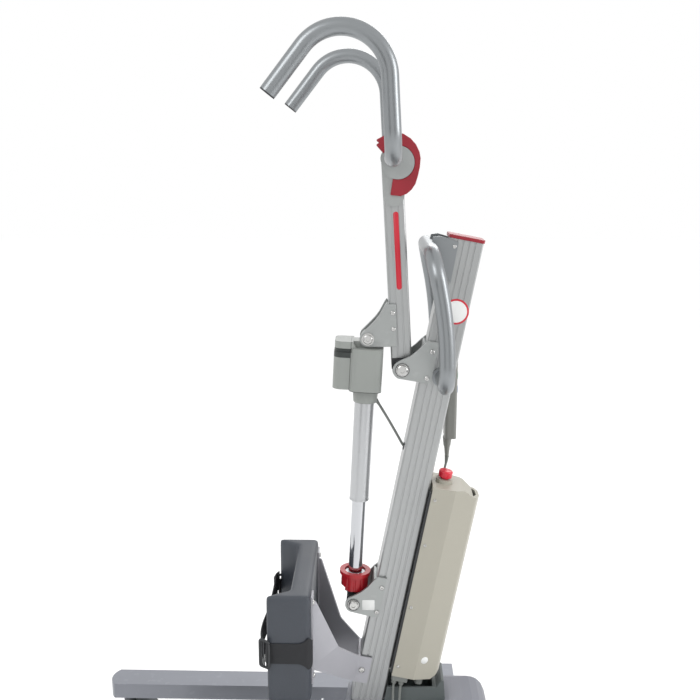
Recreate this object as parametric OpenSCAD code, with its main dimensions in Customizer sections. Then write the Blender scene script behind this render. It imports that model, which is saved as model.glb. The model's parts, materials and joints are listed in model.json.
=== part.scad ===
// Sit to stand lift: a wheeled base with spreading legs, a leaning aluminium
// mast, a lifting boom with two hooked arms, an electric ram and a knee pad.
// Units are millimetres. +X points to the carer, -X to the person being
// raised, +Z is up, and the origin is on the floor.

/* [Mast] */
// Lean of the mast towards the carer, degrees
mast_lean = 10.8; // [8:0.1:13]
// Depth of the mast profile
mast_d = 62; // [58:1:66]
// Width of the mast profile
mast_w = 60; // [56:1:64]
// Length of the mast, measured from its foot point
mast_len = 1052; // [1030:1:1080]

/* [Boom] */
// Lean of the raised boom towards the person, degrees
boom_lean = 3.35; // [2:0.05:5]
// Depth of the boom profile
boom_d = 38; // [36:1:40]
// Distance from the boom pivot to the arm hub
boom_len = 380; // [370:1:400]

/* [Arms] */
// Outside diameter of the arm and handle tubes
tube_d = 28; // [26:0.5:30]
// Distance between the two arms, centre to centre
arm_gap = 392; // [360:2:420]
// Radius of the hook bend, to the tube's centre line
hook_r = 76; // [70:1:82]
// Angle through which the hook bends
hook_turn = 138.3; // [130:0.1:150]
// Straight end of the hook beyond its bend
hook_end = 87; // [70:1:100]

/* [Handle] */
// Distance between the legs of the push handle, centre to centre
handle_gap = 292; // [280:2:310]

/* [Ram] */
// Outside diameter of the ram's outer tube
ram_tube_d = 37; // [34:0.5:40]
// Diameter of the chromed rod
ram_rod_d = 27; // [24:0.5:28]

/* [Knee pad] */
// Width of the knee pad
pad_w = 262; // [250:2:280]
// Height of the knee pad
pad_h = 214; // [200:1:225]
// Depth of the knee pad
pad_d = 82; // [76:1:90]

/* [Base] */
// Length of a leg, from its pivot to its front end
leg_len = 680; // [640:5:720]
// Distance between the leg pivots
leg_gap = 456; // [450:2:470]
// Radius of the rear castor wheels
rear_r = 40; // [38:0.5:42]
// Radius of the front castor wheels
front_r = 37.5; // [34:0.5:38]

/* [Hidden] */
$fn = 48;

// Colours
alu = [0.74, 0.76, 0.76];
tube_grey = [0.62, 0.64, 0.65];
raspberry = [0.55, 0.20, 0.28];
plastic_grey = [0.62, 0.63, 0.62];
beige = [0.72, 0.69, 0.60];
dark_grey = [0.27, 0.28, 0.31];
black = [0.10, 0.10, 0.11];
chrome = [0.80, 0.81, 0.83];
frame_grey = [0.45, 0.46, 0.50];

// Fits
gap = 0.4;
fit = 0.05;
// Butt line between two lengths of bent tube, and the same on the handle's
// leg in degrees
weld = 0.02;
weld_turn = 0.004;
plate = 5;

// Mast: its foot point, and the pivots that stand in front of it
foot_x = 132;
foot_z = 130;
mast_s0 = 38;
pivot_off = 66;
boom_s = 799;
ram_s = 324;
mast_x = mast_d / 2;
mast_y = mast_w / 2;
cheek_y = mast_y + 0.3;

// Boom
boom_w = 38;
boom_y = boom_w / 2;
lift_off = 60;
lift_up = 59;
disc_off = 10;
disc_up = boom_len - 8;
disc_r = 29;
head_r = 20;
disc_y = boom_y + plate;
disc_t = 6;

// Tubes
tube_r = tube_d / 2;
bore_r = tube_r - 2.5;
arm_y = arm_gap / 2;
arm_bend = 50;
arm_up = 75;
hub_y = disc_y + disc_t + gap;

// Push handle
handle_y = handle_gap / 2;
handle_top = [263, 1149];
handle_low_z = 914;
top_lean = 12;
low_lean = 1;
top_bend = 55;
low_bend = 45;
leg_turn = top_lean - low_lean;
leg_p0 = handle_top + top_bend * [sin(top_lean), -cos(top_lean)];
leg_drop = leg_p0[1] - handle_low_z - low_bend * cos(low_lean);
leg_p1 = leg_p0 + leg_drop * [tan((top_lean + low_lean) / 2), -1];
leg_r = norm(leg_p1 - leg_p0) / 2 / sin(leg_turn / 2);
handle_low = [leg_p1[0] + low_bend * sin(low_lean), handle_low_z];

// Ram, measured up from its lower pivot
collar_t0 = 22;
collar_t1 = 58;
tube_t0 = 207;
neck_t0 = 399;
case_t0 = 424;
case_t1 = 505;
cap_t1 = 517;

// Control box, in the mast's own axes
box_s0 = 196;
box_s1 = 582;
box_s2 = 594;
box_y = 45;
box_back_d = 35;
box_rear_d = 128;
plug_y = 37;
plug_r = 5.5;

// Knee pad and footplate
pad_rear_x = 51;
pad_z0 = 310;
wing_floor = 39;

// Base
beam_z0 = 118;
beam_z1 = 158;
beam_x0 = 290;
beam_x1 = 350;
beam_y = 190;
pivot_x = 245;
pivot_y = leg_gap / 2;
leg_w = 60;
leg_z0 = 100;
leg_z1 = 135;
lug_t = 6;
pin_r = 10;
tongue_z0 = 62;
tongue_z1 = 92;
rear_x = 330;
rear_y = 236;
front_x = pivot_x - leg_len + 38;
trail = 24;
stem_r = 7;
horn_y = pivot_y - 68;
yoke_z = 84;
pedal_x = 368;
pedal_z = 128;
cover_y = 33;

// Cord routes, chosen by hand: [x, y, z]
cable_d = 5;
cord_d = 5;
cable_route = [[165, 0, 868], [170, 0, 861], [179, 0, 847],
    [191, 0, 827], [203, 0, 806], [213, 0, 788], [219, 0, 777],
    [224, 0, 770]];
cord_route = [[312, 88, 723], [311, 88, 711], [308, 87, 696],
    [304, 85, 678], [301, 81, 656], [300, 76, 630], [298, 71, 600],
    [294, 68, 565], [287, 66, 525], [279, 65, 485], [271, 65, 445],
    [263, 65, 405], [255, 64, 365], [248, 63, 325], [243, 61, 290],
    [240, 58, 264], [237.5, 54, 248], [232, 49, 238.5], [225, 44.5, 237],
    [219, 41.5, 242], [215.4, 39, 252], [213.8, 37.6, 264],
    [213.8, 37, 276], [214.9, 37, 287], [216.4, 37, 295]];
lead_a = [[207.6, -37, 296.6], [206.6, -37.6, 288], [206, -39.5, 276],
    [206, -41.5, 262], [206, -42.5, 248], [206, -42, 234],
    [206, -40, 220], [206, -37, 209], [206, -33.2, 202]];
lead_b = [[221.3, -37, 294], [220.3, -37.6, 286], [219.4, -39.5, 274],
    [218.8, -41.5, 261], [218.4, -42.5, 247], [218, -42, 233],
    [218, -40, 219], [218, -37, 208], [218, -33.2, 201]];

// ---- Frames and helpers -------------------------------------------------

function mast_pt(d, s) = [
    foot_x + d * cos(mast_lean) + s * sin(mast_lean),
    foot_z - d * sin(mast_lean) + s * cos(mast_lean)];

boom_a = mast_pt(-pivot_off, boom_s);
ram_c = mast_pt(-pivot_off, ram_s);

function boom_pt(d, t) = [
    boom_a[0] + d * cos(boom_lean) - t * sin(boom_lean),
    boom_a[1] + d * sin(boom_lean) + t * cos(boom_lean)];

lift_b = boom_pt(-lift_off, lift_up);
ram_lean = atan2(lift_b[0] - ram_c[0], lift_b[1] - ram_c[1]);
ram_len = norm(lift_b - ram_c);

module on_mast() {
    translate([foot_x, 0, foot_z])
        rotate([0, mast_lean, 0])
            children();
}

module on_boom() {
    translate([boom_a[0], 0, boom_a[1]])
        rotate([0, -boom_lean, 0])
            children();
}

module on_ram() {
    translate([ram_c[0], 0, ram_c[1]])
        rotate([0, ram_lean, 0])
            children();
}

// A cylinder along Y, centred on y
module across(r, y, len) {
    translate([0, y, 0])
        rotate([90, 0, 0])
            cylinder(r = r, h = len, center = true);
}

// A side outline [x, z] given thickness t, centred on y
module side_plate(y, t) {
    translate([0, y + t / 2, 0])
        rotate([90, 0, 0])
            linear_extrude(t)
                children();
}

// Both sides of the middle plane
module both() {
    children();
    mirror([0, 1, 0])
        children();
}

// Points of a circular arc
function arc(c, r, a0, a1, n = 8) =
    [for (i = [0 : n]) let (a = a0 + (a1 - a0) * i / n)
        c + r * [cos(a), sin(a)]];

// One rounded corner of an outline
function corner(p, c, n, r) =
    let (u = (p - c) / norm(p - c), v = (n - c) / norm(n - c),
        half = acos(u * v) / 2, m = (u + v) / norm(u + v),
        o = c + m * r / sin(half), t0 = c + u * r / tan(half) - o,
        t1 = c + v * r / tan(half) - o,
        a0 = atan2(t0[1], t0[0]), w = atan2(t1[1], t1[0]) - a0,
        sweep = w > 180 ? w - 360 : w < -180 ? w + 360 : w)
    arc(o, r, a0, a0 + sweep, 6);

// An outline with its corners rounded, from [x, y, radius] points
function soft(pts) =
    let (n = len(pts), q = [for (p = pts) [p[0], p[1]]])
    [for (i = [0 : n - 1])
        each pts[i][2] > 0
            ? corner(q[(i + n - 1) % n], q[i], q[(i + 1) % n], pts[i][2])
            : [q[i]]];

module soft_outline(pts) {
    polygon(soft(pts));
}

module soft_box(size, r) {
    x = size[0] / 2;
    y = size[1] / 2;
    linear_extrude(size[2])
        soft_outline([[-x, -y, r], [x, -y, r], [x, y, r], [-x, y, r]]);
}

// A hollow tube from the origin along Z
module tube(r, ri, len) {
    linear_extrude(len)
        difference() {
            circle(r);
            circle(ri);
        }
}

// A hollow bend in the XZ plane: starts at the origin along +Z, and turns
// towards -X for a positive radius
module bend(r, ri, radius, turn) {
    translate([-radius, 0, 0])
        rotate([90, 0, 0])
            rotate_extrude(angle = turn)
                translate([radius, 0])
                    difference() {
                        circle(r);
                        circle(ri);
                    }
}

// A cord: one closed tube along its route
function way(p, i) =
    let (n = len(p) - 1, a = p[max(i - 1, 0)], b = p[min(i + 1, n)])
    (b - a) / norm(b - a);

function ring(p, i, r, sides) =
    let (w = way(p, i), ref = abs(w[1]) < 0.9 ? [0, 1, 0] : [1, 0, 0],
        u = cross(ref, w) / norm(cross(ref, w)), v = cross(w, u))
    [for (k = [0 : sides - 1]) let (a = 360 * k / sides)
        p[i] + r * cos(a) * u + r * sin(a) * v];

module cord(route, d, sides) {
    n = len(route);
    pts = [for (i = [0 : n - 1]) each ring(route, i, d / 2, sides)];
    walls = [for (i = [0 : n - 2], k = [0 : sides - 1])
        let (a = i * sides + k, b = i * sides + (k + 1) % sides)
        [a, a + sides, b + sides, b]];
    first = [for (k = [0 : sides - 1]) k];
    last = [for (k = [sides - 1 : -1 : 0]) (n - 1) * sides + k];
    polyhedron(points = pts, faces = concat([first], walls, [last]));
}

// A domed socket screw: head on the plane z = 0, shank below it
module screw(head_r, head_h, shank_r, shank_l) {
    difference() {
        union() {
            rotate_extrude()
                polygon(concat([[0, 0]], [[head_r, 0]],
                    [[head_r, head_h * 0.35]],
                    arc([head_r - head_h * 0.65, head_h * 0.35],
                        head_h * 0.65, 0, 90, 4),
                    [[0, head_h]]));
            translate([0, 0, -shank_l])
                cylinder(r = shank_r, h = shank_l);
        }
        translate([0, 0, head_h - 2])
            cylinder(r = head_r * 0.42, h = 3, $fn = 6);
    }
}

// A screw whose head faces -Y at y
module side_screw(x, y, z, head_r, head_h, shank_r, shank_l) {
    translate([x, y, z])
        rotate([90, 0, 0])
            screw(head_r, head_h, shank_r, shank_l);
}

// ---- Base -----------------------------------------------------------------

module mast_hole() {
    on_mast()
        translate([-mast_x - 0.1, -mast_y - 0.1, mast_s0])
            cube([mast_d + 0.2, mast_w + 0.2, 200]);
}

module lug_outline() {
    soft_outline([[-28, -30, 12], [48, -30, 0], [48, 30, 0], [-28, 30, 12]]);
}

module base_frame() {
    wall = 3;
    color(frame_grey)
    difference() {
        union() {
            // Rear crossbeam, hollow
            difference() {
                translate([beam_x0, -beam_y, beam_z0])
                    cube([beam_x1 - beam_x0, 2 * beam_y, beam_z1 - beam_z0]);
                translate([beam_x0 + wall, -beam_y + wall, beam_z0 + wall])
                    cube([beam_x1 - beam_x0 - 2 * wall,
                        2 * beam_y - 2 * wall, beam_z1 - beam_z0 - 2 * wall]);
            }
            // Spine under the mast
            translate([60, -42, beam_z0])
                cube([beam_x0 - 60, 84, beam_z1 - beam_z0]);
            // Tongue that carries the footplate
            translate([-250, -40, tongue_z0])
                cube([340, 80, tongue_z1 - tongue_z0]);
            translate([60, -40, tongue_z1])
                cube([30, 80, beam_z0 - tongue_z1]);
            // Socket for the mast
            intersection() {
                on_mast()
                    translate([-mast_x - 6, -mast_y - 6, 0])
                        cube([mast_d + 12, mast_w + 12, 118]);
                translate([0, -100, beam_z1])
                    cube([400, 200, 200]);
            }
            translate([78, -56, beam_z1])
                cube([124, 112, 6]);
            both() {
                // Lugs above and below the leg
                for (z = [leg_z0 - lug_t - 1, leg_z1 + 1])
                    translate([pivot_x, pivot_y, z])
                        linear_extrude(lug_t)
                            lug_outline();
                // Beam end, with a foot down to the lower lug
                translate([beam_x0, beam_y, beam_z0])
                    cube([beam_x1 - beam_x0, 76, beam_z1 - beam_z0]);
                translate([beam_x0 - 4, pivot_y - 30, leg_z0 - lug_t - 1])
                    cube([20, 60, beam_z1 - leg_z0 + lug_t + 1]);
                // Leg pivot pin and its head
                translate([pivot_x, pivot_y, leg_z0 - lug_t - 4])
                    cylinder(r = pin_r, h = leg_z1 - leg_z0 + 2 * lug_t + 8);
                translate([pivot_x, pivot_y, leg_z1 + lug_t + 1])
                    cylinder(r = 16, h = 5);
                // Yoke guide under the beam
                translate([300, 24, 80])
                    cube([30, 8, beam_z0 - 80]);
                // Pedal bearing lugs
                translate([beam_x1, 40, 116])
                    cube([30, 8, 24]);
            }
        }
        mast_hole();
        both() {
            translate([rear_x, rear_y, 100])
                cylinder(r = stem_r + fit, h = 48);
            // Footplate peg holes
            translate([-180, 22, tongue_z1 - 14])
                cylinder(r = 6.5, h = 20);
            translate([20, 22, tongue_z1 - 14])
                cylinder(r = 6.5, h = 20);
        }
        // Pedal spindle bore
        translate([pedal_x, 0, pedal_z])
            across(5 + fit, 0, 200);
    }
}

// Rounded plastic hood over the middle of the crossbeam
module base_dome() {
    dome_x = 322;
    color([0.44, 0.44, 0.49])
    difference() {
        dome_body(dome_x, 84, 100, 256);
        dome_body(dome_x, 80.5, 96.5, 252.5);
        translate([200, -150, 60])
            cube([300, 300, beam_z0 + 4 - 60]);
        base_block(0.5);
        base_cover_body(0.5);
        translate([beam_x1 - 2, -60, 90])
            cube([80, 120, 60]);
    }
}

module dome_body(x, rx, ry, top) {
    intersection() {
        // Side outline: upright sides under a round top
        side_plate(0, 2 * ry)
            soft_outline([[x - rx, 90, 0], [x + rx, 90, 0],
                [x + rx, top, rx * 0.96], [x - rx, top, rx * 0.96]]);
        // Rear outline
        translate([x, 0, 0])
            rotate([0, 0, 90])
                side_plate(0, 2 * rx + 2)
                    soft_outline([[-ry, 90, 0], [ry, 90, 0],
                        [ry, top, 60], [-ry, top, 60]]);
    }
}

// The space that the frame takes inside the dome
module base_block(g) {
    translate([beam_x0 - g, -beam_y, beam_z0 - g])
        cube([beam_x1 - beam_x0 + 2 * g, 2 * beam_y,
            beam_z1 - beam_z0 + 2 * g]);
    translate([60, -42 - g, beam_z0 - g])
        cube([beam_x0 - 60, 84 + 2 * g, beam_z1 - beam_z0 + 2 * g]);
}

// Dark cover behind the mast foot
module base_cover_body(g) {
    side_plate(0, 2 * (cover_y + g))
        polygon([[176 - g, 168 - g], [296 + g, 168 - g], [309 + g, 262],
            [306 + g, 300 + g], [301 - g, 300 + g], [292, 284 + g],
            [194 - g, 284 + g]]);
}

module base_cover() {
    color([0.31, 0.34, 0.34])
    difference() {
        base_cover_body(0);
        side_plate(0, 2 * cover_y - 6)
            polygon([[170, 160], [292, 160], [303, 250], [288, 280],
                [190, 280]]);
        // Open top, where the wiring goes in
        translate([196, 6 - cover_y, 270])
            cube([88, 2 * cover_y - 12, 30]);
        on_mast()
            translate([-mast_x - 12, -60, 0])
                cube([mast_d + 12.6, 120, 400]);
        on_mast()
            translate([-60, -60, -20])
                cube([60 + mast_x + 6.5, 120, 139]);
    }
}

// ---- Mast -----------------------------------------------------------------

// Outline of an extruded profile of depth d and width w, with grooves of
// depth g at the places in list at, on both sides
module profile_outline(d, w, at, g) {
    difference() {
        soft_outline([[-d / 2, -w / 2, 4], [d / 2, -w / 2, 4],
            [d / 2, w / 2, 4], [-d / 2, w / 2, 4]]);
        for (x = at, side = [-1, 1])
            translate([x - 1.5, side * w / 2 - g])
                square([3, 2 * g]);
    }
}

module mast_profile() {
    color(alu)
        on_mast()
            translate([0, 0, mast_s0])
                difference() {
                    linear_extrude(mast_len - mast_s0)
                        difference() {
                            profile_outline(mast_d, mast_w,
                                [-17, -6, 5, 16], 1.2);
                            // Two chambers with a web between them
                            translate([-mast_x + 4, -mast_y + 4])
                                square([mast_x - 6, mast_w - 8]);
                            translate([2, -mast_y + 4])
                                square([mast_x - 6, mast_w - 8]);
                        }
                    // Cable hole in the front wall
                    translate([-mast_x - 2, 0, 647 - mast_s0])
                        rotate([0, 90, 0])
                            cylinder(r = 5.5, h = 8);
                }
}

module mast_cap() {
    color([0.45, 0.16, 0.24])
        on_mast()
            translate([0, 0, mast_len]) {
                soft_box([mast_d + 3, mast_w + 3, 6], 5);
                translate([-mast_x / 2 - 1, 0, -14])
                    soft_box([mast_x - 8, mast_w - 10, 14], 2);
            }
}

// Outline of one cheek of a mast bracket, about its pivot, in mast axes.
// It sweeps up from the nose to the mast in one hollow curve.
module mast_cheek(nose, top, back, low) {
    polygon(concat(
        arc([0, 0], nose, 255, 130, 10),
        [[-nose * 0.2, nose * 1.12], [9, 28]],
        [[20, 41]], [[29, top - 9]], [[37, top]],
        [[back, top], [back, low + 3]],
        [[back - 12, low]]));
}

module bracket_pair(t, y) {
    both()
        side_plate(y + t / 2, t)
            children();
}

module boom_bracket() {
    color(alu)
        on_mast()
            translate([-pivot_off, 0, boom_s])
                difference() {
                    union() {
                        bracket_pair(plate, cheek_y)
                            mast_cheek(17.5, 63, 56, -16);
                        // Web against the front of the mast
                        translate([mast_off(), -cheek_y - 1, 6])
                            cube([5, 2 * cheek_y + 2, 50]);
                    }
                    across(8 + fit, 0, 200);
                }
}

module ram_bracket() {
    color(alu)
        on_mast()
            translate([-pivot_off, 0, ram_s])
                difference() {
                    union() {
                        bracket_pair(plate, cheek_y)
                            mast_cheek(16, 66, 53, -18);
                        translate([mast_off(), -cheek_y - 1, -8])
                            cube([5, 2 * cheek_y + 2, 66]);
                    }
                    across(7 + fit, 0, 200);
                }
}

// Where a bracket's web starts, measured from the pivot
function mast_off() = pivot_off - mast_x - 5.2;

module pivot_bolts() {
    color(chrome)
    on_mast()
        for (b = [[boom_s, 8], [ram_s, 7]])
            translate([-pivot_off, 0, b[0]]) {
                across(b[1], 0, 2 * cheek_y + 2 * plate + 0.6);
                both() {
                    across_ring(b[1] + 5, cheek_y + plate + 0.6, 2);
                    side_screw(0, -cheek_y - plate - 1.6, 0,
                        b[1] + 2.5, 5, b[1] - 1, 2);
                }
            }
}

// A flat washer across Y at distance y
module across_ring(r, y, t) {
    translate([0, -y, 0])
        across(r, 0, t);
}

// ---- Push handle ----------------------------------------------------------

// One half of the bow, as one bent tube
module bow_half(r, ri) {
    // Upper bend, from across to down
    translate([leg_p0[0], -handle_y, leg_p0[1]])
        rotate([0, 180 - top_lean, 0])
            rotate([0, 180, 0])
                rotate([0, 0, -90])
                    bend(r, ri, top_bend, 90);
    // The leg, a slow curve
    translate([leg_p0[0], -handle_y, leg_p0[1]])
        rotate([0, 180 - top_lean, 0])
            rotate([0, 0, 180])
                translate([-leg_r, 0, 0])
                    rotate([0, -weld_turn, 0])
                        translate([leg_r, 0, 0])
                            bend(r, ri, leg_r, leg_turn - 2 * weld_turn);
    // Lower bend, from down to across
    translate([leg_p1[0], -handle_y, leg_p1[1]])
        rotate([0, 180 - low_lean, 0])
            rotate([0, 0, -90])
                bend(r, ri, low_bend, 90);
    // Lower end, in to the mast
    translate([handle_low[0], -handle_y + low_bend + weld, handle_low[1]])
        rotate([-90, 0, 0])
            tube(r, ri, handle_y - low_bend - mast_y - 4 - weld);
}

module gusset() {
    side_plate(-mast_y - 2.6, 4.4)
        difference() {
            polygon([handle_top + [-2, -8], handle_top + [6, 21],
                handle_top + [18, 22.5], handle_top + [42, 16],
                handle_top + [51, 12], handle_top + [45, -24],
                handle_top + [38, -62], handle_top + [24, -34]]);
            translate(handle_top)
                circle(tube_r + fit);
        }
}

module push_handle() {
    color(tube_grey) {
        // Crosspiece
        translate([handle_top[0], handle_y - top_bend - weld, handle_top[1]])
            rotate([90, 0, 0])
                tube(tube_r, bore_r, 2 * (handle_y - top_bend - weld));
        both() {
            bow_half(tube_r, bore_r);
            gusset();
            // Boss that bolts the lower end to the mast
            translate([handle_low[0], -mast_y - 2.1, handle_low[1]])
                difference() {
                    across(19, 0, 3.8);
                    across(bore_r - 2, 0, 20);
                }
        }
    }
}

// ---- Control box ----------------------------------------------------------

// The box's section, [d, y] in the mast's axes, shrunk by g
module box_section(g) {
    y = box_y - g;
    r = box_rear_d - g;
    soft_outline([[box_back_d, -y, 0], [78, -y, 6], [r - 6, -27 + g, 8],
        [r, -12, 10], [r, 12, 10], [r - 6, 27 - g, 8], [78, y, 6],
        [box_back_d, y, 0]]);
}

// Side outline of the box top, which drops towards the rear
module box_crown(top) {
    side_plate(0, 120)
        soft_outline([[0, 0, 0], [180, 0, 0], [180, top - 90, 0],
            [box_rear_d + 4, top - 22, 14], [96, top, 20], [0, top - 4, 0]]);
}

module box_back() {
    color(black)
        on_mast() {
            translate([mast_x + 0.1, -box_y + 1.5, box_s0 + 6])
                cube([box_back_d - mast_x - 0.2, 2 * box_y - 3,
                    box_s1 - box_s0 - 8]);
            for (s = [box_s0 + 40, box_s1 - 50])
                translate([box_back_d, -box_y + 6, s])
                    cube([10, 10, 10]);
        }
}

// The box's body, shrunk by g, with a bevel under its rear edge
module box_body(g, top) {
    r = box_rear_d - g;
    intersection() {
        translate([0, 0, box_s0 + g])
            linear_extrude(top - box_s0 - g)
                box_section(g);
        side_plate(0, 2 * box_y + 4)
            polygon([[0, box_s0], [r - 16, box_s0 + g], [r, box_s0 + 15 + g],
                [r, top + 1], [0, top + 1]]);
    }
}

module box_cover() {
    color(beige)
        on_mast()
            difference() {
                box_body(0, box_s1);
                box_body(3, box_s1 + 1);
                // Sockets in the floor
                for (p = [[52, -plug_y], [52, plug_y], [92, -20]])
                    translate([p[0], p[1], box_s0 - 1])
                        cylinder(r = plug_r + 0.5, h = 6);
            }
}

module box_cap() {
    color([0.60, 0.58, 0.50])
        on_mast() {
            intersection() {
                translate([0, 0, box_s1])
                    linear_extrude(box_s2 - box_s1)
                        box_section(0);
                box_crown(box_s2);
            }
            translate([0, 0, box_s1 - 8])
                linear_extrude(8)
                    difference() {
                        box_section(3.2);
                        translate([box_back_d - 4, -box_y])
                            square([7.5, 2 * box_y]);
                        box_section(6);
                    }
            // Collar of the stop button
            translate([58, 0, box_s2 - 2])
                difference() {
                    cylinder(r = 16, h = 7);
                    translate([0, 0, 1])
                        cylinder(r = 7 + gap, h = 10);
                }
        }
}

module battery_pack() {
    color([0.20, 0.24, 0.34])
        on_mast()
            translate([box_back_d + 36, 0, box_s0 + 30])
                soft_box([52, 62, 190], 5);
}

module stop_button() {
    color([0.85, 0.12, 0.16])
        on_mast()
            translate([58, 0, box_s2]) {
                translate([0, 0, 4.4])
                    cylinder(r = 7, h = 1.6);
                translate([0, 0, 9.2])
                    rotate_extrude()
                        polygon(concat([[0, -3.2]], [[7, -3.2]], [[7, 0]],
                            [[13, 0]], [[13.5, 10]],
                            arc([10.5, 10], 3, 0, 90, 5), [[0, 14]]));
            }
}

module box_plugs() {
    color(plastic_grey)
        on_mast() {
            for (p = [[52, plug_y], [92, -20]])
                translate([p[0], p[1], box_s0 - 18]) {
                    cylinder(r = 8, h = 18);
                    translate([0, 0, 18])
                        cylinder(r = plug_r, h = 2.8);
                }
            // Double plug with two outlets
            translate([52, -plug_y, box_s0 - 10]) {
                soft_box([32, 14, 10], 4);
                translate([0, 0, 10])
                    cylinder(r = plug_r, h = 2.8);
                for (x = [-9, 5])
                    translate([x, 0, -8])
                        cylinder(r = 5, h = 8);
            }
        }
}

module box_leads() {
    color([0.55, 0.55, 0.52]) {
        cord(lead_a, cord_d, 10);
        cord(lead_b, cord_d, 10);
    }
}

module root_screws() {
    color(chrome) {
        // Control box screws
        on_mast()
            both()
                for (s = [box_s0 + 22, box_s0 + 150, box_s0 + 280,
                        box_s1 - 14])
                    side_screw(box_back_d + 8, -box_y - 0.05, s,
                        3, 1.6, 1.5, 2.9);
        // Bracket screws into the mast's sides
        on_mast()
            both()
                for (b = [[boom_s - 6, 0], [boom_s + 44, 0],
                        [ram_s - 6, 0], [ram_s + 46, 0]])
                    side_screw(-pivot_off + 47, -cheek_y - plate - 0.05,
                        b[0], 4.5, 2.6, 3, 4.8);
        // Lower ends of the handle
        both()
            side_screw(handle_low[0] + 14.5, -mast_y - 4.45,
                handle_low[1], 3, 2, 1.5, 3.9);
        // Gusset screws
        both()
            side_screw(handle_top[0] + 44, -mast_y - 4.85,
                handle_top[1] + 4, 3.5, 2, 2, 4.2);
    }
}

// ---- Knee support -----------------------------------------------------------

splay = 28.9;
splay_d = mast_x + 3.2;
splay_y = mast_y + 3;

// One splayed plate, [distance from the mast, height] in mast axes
module knee_plate() {
    on_mast()
        translate([-splay_d, -splay_y, 0])
            rotate([0, 0, splay])
                side_plate(0, 3.5)
                    soft_outline([[0, 163, 0], [-96, 199, 3],
                        [-132, 362, 4], [-51.5, 243.5, 14],
                        [-24, 230, 10], [0, 219, 0]]);
}

module knee_bracket() {
    color([0.60, 0.60, 0.62])
    difference() {
        union() {
            both() {
                knee_plate();
                // Flange screwed to the back of the pad
                translate([pad_rear_x + 0.2, -112, 338])
                    cube([3, 30, 176]);
                // Cheek beside the mast
                on_mast()
                    translate([-splay_d, -splay_y - 1.7, 163])
                        cube([26, 2.8, 56]);
            }
            // Strap across the front of the mast
            on_mast()
                translate([-mast_x - 4.8, -splay_y - 1.7, 163])
                    cube([4.2, 2 * splay_y + 3.4, 56]);
        }
        // Slots for the clamp screws
        on_mast()
            translate([-24, 0, 191])
                across(3, 0, 120);
    }
}

module knee_screws() {
    color(chrome)
    both() {
        on_mast()
            side_screw(-24, -splay_y - 1.75, 191, 6, 4, 2.8, 2.7);
        for (z = [352, 500])
            translate([pad_rear_x + 3.25, -104, z])
                rotate([0, 90, 0])
                    screw(5, 3, 2.4, 3);
    }
}

module pad_outline() {
    y = pad_w / 2;
    x0 = pad_rear_x - pad_d;
    f = pad_rear_x - wing_floor;
    soft_outline([[pad_rear_x, -y, 8], [pad_rear_x, y, 8], [x0, y, 2.5],
        [x0, y - 7, 2.5], [x0 + 24, y - 22, 6], [f - 1, y - 31, 6],
        [f, y - 43, 4], [f, 43 - y, 4], [f - 1, 31 - y, 6],
        [x0 + 24, 22 - y, 6], [x0, 7 - y, 2.5], [x0, -y, 2.5]]);
}

module knee_pad() {
    color(dark_grey)
        translate([0, 0, pad_z0])
            linear_extrude(pad_h)
                pad_outline();
}

// Webbing round each wing of the pad, and across its front
module knee_straps() {
    x0 = pad_rear_x - pad_d;
    y = pad_w / 2 + 0.4;
    color(black) {
        both() {
            translate([x0 - 5, -y - 3, 386])
                cube([pad_d + 9, 3, 52]);
            translate([pad_rear_x + 0.4, -y, 392])
                cube([3.2, 15, 40]);
            // Buckle
            translate([x0 - 12, -y - 7, 382])
                cube([20, 3.9, 60]);
        }
        translate([x0 - 5, -y, 398])
            cube([4.6, 2 * y, 44]);
    }
}

// ---- Foot board -------------------------------------------------------------

board_x0 = -262;
board_x1 = 56;
board_y = 172;

module footplate() {
    color(alu)
    difference() {
        union() {
            translate([board_x0, -board_y, tongue_z1])
                cube([board_x1 - board_x0, 2 * board_y, 4]);
            // Heel stop and side lips
            translate([board_x1 - 4, -board_y, tongue_z1])
                cube([4, 2 * board_y, 32]);
            both()
                translate([board_x0, -board_y, tongue_z1])
                    cube([board_x1 - board_x0, 4, 14]);
            both()
                for (x = [-180, 20])
                    translate([x, 22, tongue_z1 - 10])
                        cylinder(r = 6, h = 11);
        }
        // Hand hole in the front edge
        translate([board_x0 + 22, -45, tongue_z1 - 1])
            cube([20, 90, 6]);
    }
}

module foot_mat() {
    color([0.20, 0.21, 0.22])
        translate([board_x0 + 52, -board_y + 6, tongue_z1 + 4])
            difference() {
                cube([board_x1 - board_x0 - 60, 2 * board_y - 12, 3]);
                for (i = [1 : 12])
                    translate([i * 19, -1, 2])
                        cube([4, 2 * board_y, 2]);
            }
}

// ---- Boom -------------------------------------------------------------------

module boom_profile() {
    color(alu)
        on_boom()
            difference() {
                translate([0, 0, 20])
                    linear_extrude(boom_len - 15)
                        difference() {
                            profile_outline(boom_d, boom_w, [-6, 6], 1);
                            square([boom_d - 8, boom_w - 8], center = true);
                        }
                translate([0, 0, boom_len])
                    across(13, 0, 100);
                translate([-50, -50, boom_len + 6])
                    cube([100, 100, 20]);
                for (t = [75, 105])
                    translate([-12, 0, t])
                        across(2.6, 0, 100);
            }
}

module boom_foot() {
    color([0.35, 0.36, 0.38])
        on_boom()
            difference() {
                union() {
                    across(18, 0, 2 * cheek_y - 1);
                    translate([-boom_d / 2, -boom_y, 0])
                        cube([boom_d, boom_w, 19.8]);
                    translate([-14.8, -14.8, 19])
                        cube([29.6, 29.6, 30]);
                }
                across(8 + fit, 0, 200);
            }
}

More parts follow.
